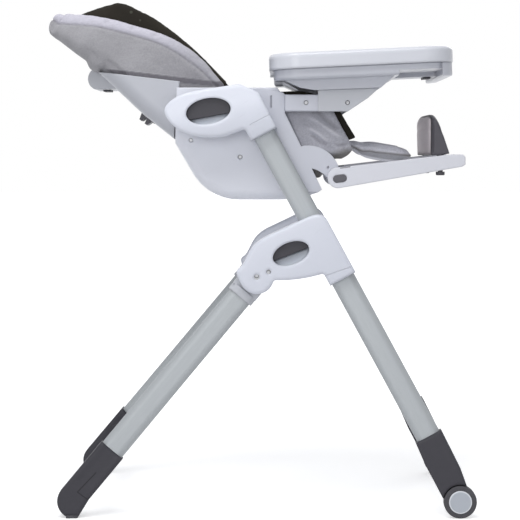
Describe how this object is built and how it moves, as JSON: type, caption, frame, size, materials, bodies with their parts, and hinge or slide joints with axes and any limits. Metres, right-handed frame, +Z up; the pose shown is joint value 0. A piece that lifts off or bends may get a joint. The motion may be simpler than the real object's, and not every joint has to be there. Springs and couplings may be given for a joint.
{
  "type": "baby high chair",
  "caption": "Folding baby high chair with splayed tube legs on front wheels, a height-sliding reclining padded seat, a leg rest with footplate, and a feeding tray on the armrests.",
  "frame": {"origin": "On the floor, under the middle of the chair's outline", "axes": "X forward, the way the child faces; Y to the child's left; Z up"},
  "size_m": [0.8779, 0.5682, 1.0424],
  "materials": {
    "white_plastic": "moulded white, soft gloss",
    "pale_plastic": "pale grey moulded, satin",
    "dark_plastic": "dark grey moulded, fine grain",
    "grey_plastic": "mid grey moulded, satin",
    "silver_tube": "silver paint, satin",
    "steel": "zinc plated",
    "wheel_tyre": "black rubber, matte",
    "grey_fabric": "heather grey woven cover",
    "dark_liner": "dark brown quilted liner",
    "strap_webbing": "woven black webbing"
  },
  "bodies": {
    "frame": {"upper_tube_right": "silver_tube", "upper_tube_left": "silver_tube", "tube_plugs": "dark_plastic", "front_leg_right": "silver_tube", "front_leg_left": "silver_tube", "fold_hub_right": "white_plastic", "fold_hub_left": "white_plastic", "front_foot_right": "dark_plastic", "front_foot_left": "dark_plastic", "front_cross_bar": "silver_tube", "wheel_axles": "steel", "hub_bolts": "steel"},
    "wheel_right": {"wheel_right": "wheel_tyre", "wheel_cover_right": "grey_plastic"},
    "wheel_left": {"wheel_left": "wheel_tyre", "wheel_cover_left": "grey_plastic"},
    "rear_legs": {"rear_leg_right": "silver_tube", "rear_leg_left": "silver_tube", "rear_knuckle_right": "pale_plastic", "rear_knuckle_left": "pale_plastic", "rear_foot_right": "dark_plastic", "rear_foot_left": "dark_plastic", "rear_soles": "wheel_tyre", "rear_cross_bar": "silver_tube"},
    "seat": {"seat_shell": "white_plastic", "height_housing_right": "white_plastic", "height_housing_left": "white_plastic", "side_frame_right": "white_plastic", "side_frame_left": "white_plastic", "armrest_right": "white_plastic", "armrest_left": "white_plastic", "seat_cover": "grey_fabric", "seat_liner": "dark_liner", "lap_straps": "strap_webbing", "buckle": "dark_plastic", "seat_screws": "steel", "seat_hinge_pins": "steel"},
    "backrest": {"backrest_shell": "white_plastic", "backrest_cover": "grey_fabric", "backrest_liner": "dark_liner", "shoulder_straps": "strap_webbing", "recline_handle": "pale_plastic", "strap_anchor": "dark_plastic"},
    "recline_lever": {"recline_lever": "dark_plastic"},
    "legrest": {"legrest_arm_right": "white_plastic", "legrest_arm_left": "white_plastic", "legrest_bar": "silver_tube"},
    "calf": {"calf_pad": "grey_fabric"},
    "footplate": {"footplate": "dark_plastic", "footplate_knobs": "dark_plastic"},
    "tray": {"tray_body": "white_plastic", "tray_brackets": "white_plastic"},
    "tray_insert": {"tray_insert": "white_plastic"},
    "tray_lever": {"tray_lever": "dark_plastic"},
    "fold_button_right": {"fold_button_right": "dark_plastic"},
    "fold_button_left": {"fold_button_left": "dark_plastic"},
    "height_button_right": {"height_button_right": "dark_plastic"},
    "height_button_left": {"height_button_left": "dark_plastic"},
    "legrest_button_right": {"legrest_button_right": "dark_plastic"},
    "legrest_button_left": {"legrest_button_left": "dark_plastic"}
  },
  "joints": [
    {"name": "rear_fold", "type": "hinge", "parent": "frame", "child": "rear_legs", "pos_m": [-0.0027, 0, 0.4822], "axis": [0, -1, 0], "range_deg": [0, 55]},
    {"name": "wheel_right_spin", "type": "hinge", "parent": "frame", "child": "wheel_right", "pos_m": [0.4054, -0.268, 0.033], "axis": [0, 1, 0], "continuous": true},
    {"name": "wheel_left_spin", "type": "hinge", "parent": "frame", "child": "wheel_left", "pos_m": [0.4054, 0.268, 0.033], "axis": [0, 1, 0], "continuous": true},
    {"name": "seat_height", "type": "slide", "parent": "frame", "child": "seat", "axis": [-0.4787, 0, 0.878], "range_m": [-0.16, 0]},
    {"name": "backrest_recline", "type": "hinge", "parent": "seat", "child": "backrest", "pos_m": [-0.138, 0, 0.757], "axis": [0, 1, 0], "range_deg": [0, 38]},
    {"name": "legrest_tilt", "type": "hinge", "parent": "seat", "child": "legrest", "pos_m": [0.161, 0, 0.681], "axis": [0, 1, 0], "range_deg": [0, 70]},
    {"name": "calf_tilt", "type": "hinge", "parent": "seat", "child": "calf", "pos_m": [0.183, 0, 0.749], "axis": [0, 1, 0], "range_deg": [0, 70]},
    {"name": "footplate_reach", "type": "slide", "parent": "legrest", "child": "footplate", "axis": [0.994, 0, 0.1091], "range_m": [-0.01, 0.03]},
    {"name": "tray_reach", "type": "slide", "parent": "seat", "child": "tray", "axis": [1, 0, 0], "range_m": [-0.035, 0]},
    {"name": "tray_insert_lift", "type": "slide", "parent": "tray", "child": "tray_insert", "axis": [-0.0471, 0, 0.9989], "range_m": [0, 0.05]},
    {"name": "tray_lever_pull", "type": "slide", "parent": "tray", "child": "tray_lever", "axis": [0.9989, 0, 0.0471], "range_m": [0, 0.006], "stiffness_N_per_m": 400, "springref_m": -0.001},
    {"name": "recline_lever_pull", "type": "slide", "parent": "backrest", "child": "recline_lever", "axis": [-1, 0, 0], "range_m": [0, 0.006], "stiffness_N_per_m": 400, "springref_m": -0.001},
    {"name": "fold_button_right_push", "type": "slide", "parent": "frame", "child": "fold_button_right", "axis": [0, 1, 0], "range_m": [0, 0.005], "stiffness_N_per_m": 500, "springref_m": -0.001},
    {"name": "height_button_right_push", "type": "slide", "parent": "seat", "child": "height_button_right", "axis": [0, 1, 0], "range_m": [0, 0.005], "stiffness_N_per_m": 500, "springref_m": -0.001},
    {"name": "legrest_button_right_push", "type": "slide", "parent": "legrest", "child": "legrest_button_right", "axis": [0, 1, 0], "range_m": [0, 0.0025], "stiffness_N_per_m": 500, "springref_m": -0.001},
    {"name": "fold_button_left_push", "type": "slide", "parent": "frame", "child": "fold_button_left", "axis": [0, -1, 0], "range_m": [0, 0.005], "stiffness_N_per_m": 500, "springref_m": -0.001},
    {"name": "height_button_left_push", "type": "slide", "parent": "seat", "child": "height_button_left", "axis": [0, -1, 0], "range_m": [0, 0.005], "stiffness_N_per_m": 500, "springref_m": -0.001},
    {"name": "legrest_button_left_push", "type": "slide", "parent": "legrest", "child": "legrest_button_left", "axis": [0, -1, 0], "range_m": [0, 0.0025], "stiffness_N_per_m": 500, "springref_m": -0.001}
  ],
  "couplings": [
    {"joint": "calf_tilt", "follows": "legrest_tilt", "ratio": 1}
  ]
}
